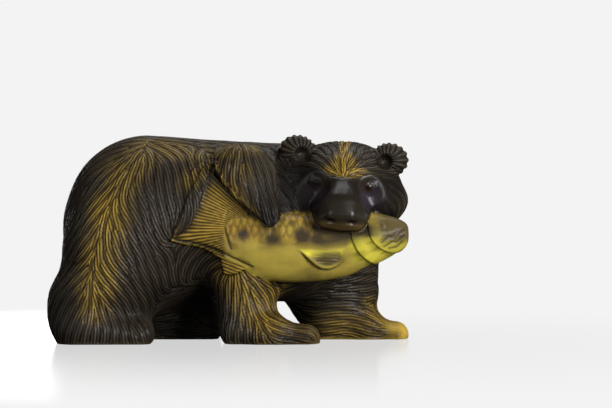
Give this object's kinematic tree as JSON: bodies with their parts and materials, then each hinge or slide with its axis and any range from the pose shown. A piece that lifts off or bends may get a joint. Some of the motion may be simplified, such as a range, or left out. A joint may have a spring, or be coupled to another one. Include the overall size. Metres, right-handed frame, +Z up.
{
  "type": "carved bear with fish",
  "caption": "Walking bear carved in one block of wood, head turned to its right, a fish held across its mouth, fur cut in long grooves",
  "frame": {"origin": "centre of the bounding box in plan, on the plane under the feet", "axes": "+X the way the bear walks, +Y its left side, +Z up"},
  "size_m": [0.2398, 0.119, 0.1375],
  "materials": {
    "stained_wood": "satin"
  },
  "bodies": {
    "root": {"bear_with_fish": "stained_wood"}
  },
  "joints": []
}
